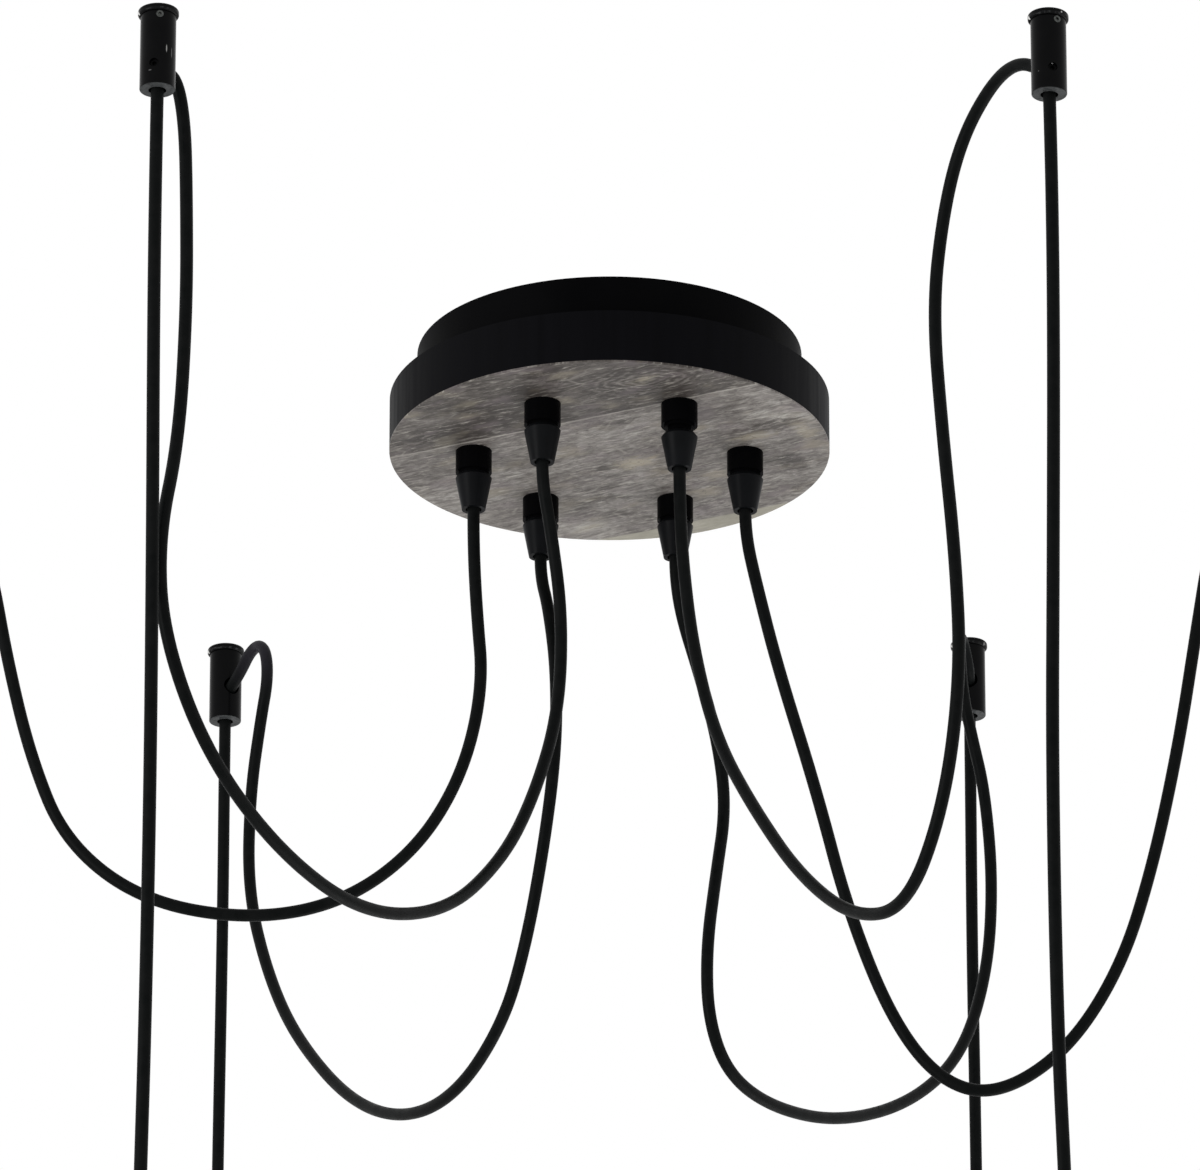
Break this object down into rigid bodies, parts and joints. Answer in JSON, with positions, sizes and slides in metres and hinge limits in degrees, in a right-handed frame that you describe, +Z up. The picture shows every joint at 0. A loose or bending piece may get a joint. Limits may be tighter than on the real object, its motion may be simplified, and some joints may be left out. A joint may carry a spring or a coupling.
{
  "type": "pendant light",
  "caption": "Swag pendant light: a round ceiling canopy feeds black cords through grips to separate ceiling hooks, from which each drops straight to a lampholder.",
  "frame": {"origin": "centre of the canopy on the ceiling plane, midway between the bracket's two slots", "axes": "+Z up into the ceiling; +X along the bracket from the canopy towards the hook of arm 1, and arms count anticlockwise seen from above"},
  "size_m": [1.0216, 0.9174, 0.773],
  "materials": {
    "zinc_steel": "zinc plated, satin",
    "black_pan": "black powder coat",
    "black_screws": "black oxide",
    "black_disc": "black moulding, matte",
    "wood_print": "weathered grey-brown boards, matte",
    "white_nylon": "plain moulded nylon",
    "brass_screws": "turned",
    "lead_blue": "smooth insulation",
    "lead_green": "smooth insulation, green and yellow",
    "lead_brown": "smooth insulation",
    "grip_matte": "charcoal moulding, matte",
    "collet_nylon": "moulded nylon",
    "black_locknuts": "moulded nylon",
    "cord_black": "satin black sheath",
    "hook_black": "satin black",
    "grip_gloss": "black moulding, glossy",
    "holder_black": "black moulded phenolic, satin",
    "holder_insert": "pale ceramic, unglazed"
  },
  "bodies": {
    "fixture": {"ceiling_bracket": "zinc_steel", "base_pan": "black_pan", "pan_side_screws": "black_screws", "disc_body": "black_disc", "disc_face_panel": "wood_print", "disc_screws": "zinc_steel", "terminal_block": "white_nylon", "terminal_screws": "brass_screws", "leads_neutral": "lead_blue", "leads_earth": "lead_green", "leads_live": "lead_brown", "grip_nuts": "grip_matte", "grip_collets": "collet_nylon", "grip_locknuts": "black_locknuts", "cord_ends": "cord_black", "hook_bases": "hook_black", "hook_screws": "black_screws", "grip_body_1": "grip_gloss", "hook_body_1": "hook_black", "swag_cord_1": "cord_black", "grip_body_2": "grip_gloss", "hook_body_2": "hook_black", "swag_cord_2": "cord_black", "grip_body_3": "grip_gloss", "hook_body_3": "hook_black", "swag_cord_3": "cord_black", "grip_body_4": "grip_gloss", "hook_body_4": "hook_black", "swag_cord_4": "cord_black", "grip_body_5": "grip_gloss", "hook_body_5": "hook_black", "swag_cord_5": "cord_black", "grip_body_6": "grip_gloss", "hook_body_6": "hook_black", "swag_cord_6": "cord_black"},
    "pendant_1": {"drop_cord_1": "cord_black", "holder_cap_1": "holder_black", "holder_sleeve_1": "holder_black", "holder_insert_1": "holder_insert"},
    "pendant_2": {"drop_cord_2": "cord_black", "holder_cap_2": "holder_black", "holder_sleeve_2": "holder_black", "holder_insert_2": "holder_insert"},
    "pendant_3": {"drop_cord_3": "cord_black", "holder_cap_3": "holder_black", "holder_sleeve_3": "holder_black", "holder_insert_3": "holder_insert"},
    "pendant_4": {"drop_cord_4": "cord_black", "holder_cap_4": "holder_black", "holder_sleeve_4": "holder_black", "holder_insert_4": "holder_insert"},
    "pendant_5": {"drop_cord_5": "cord_black", "holder_cap_5": "holder_black", "holder_sleeve_5": "holder_black", "holder_insert_5": "holder_insert"},
    "pendant_6": {"drop_cord_6": "cord_black", "holder_cap_6": "holder_black", "holder_sleeve_6": "holder_black", "holder_insert_6": "holder_insert"}
  },
  "joints": [
    {"name": "pendant_swing_1", "type": "hinge", "parent": "fixture", "child": "pendant_1", "pos_m": [0.49, 0, -0.04605], "axis": [1, 0, 0], "range_deg": [-15, 15]},
    {"name": "pendant_swing_2", "type": "hinge", "parent": "fixture", "child": "pendant_2", "pos_m": [0.22156, 0.41495, -0.04605], "axis": [0.4653, 0.8852, 0], "range_deg": [-15, 15]},
    {"name": "pendant_swing_3", "type": "hinge", "parent": "fixture", "child": "pendant_3", "pos_m": [-0.2255, 0.4295, -0.04605], "axis": [-0.4581, 0.8889, 0], "range_deg": [-15, 15]},
    {"name": "pendant_swing_4", "type": "hinge", "parent": "fixture", "child": "pendant_4", "pos_m": [-0.49, 0, -0.04605], "axis": [-1, 0, 0], "range_deg": [-15, 15]},
    {"name": "pendant_swing_5", "type": "hinge", "parent": "fixture", "child": "pendant_5", "pos_m": [-0.24706, -0.44571, -0.04605], "axis": [-0.4821, -0.8761, 0], "range_deg": [-15, 15]},
    {"name": "pendant_swing_6", "type": "hinge", "parent": "fixture", "child": "pendant_6", "pos_m": [0.22935, -0.44627, -0.04605], "axis": [0.4492, -0.8934, 0], "range_deg": [-15, 15]}
  ]
}
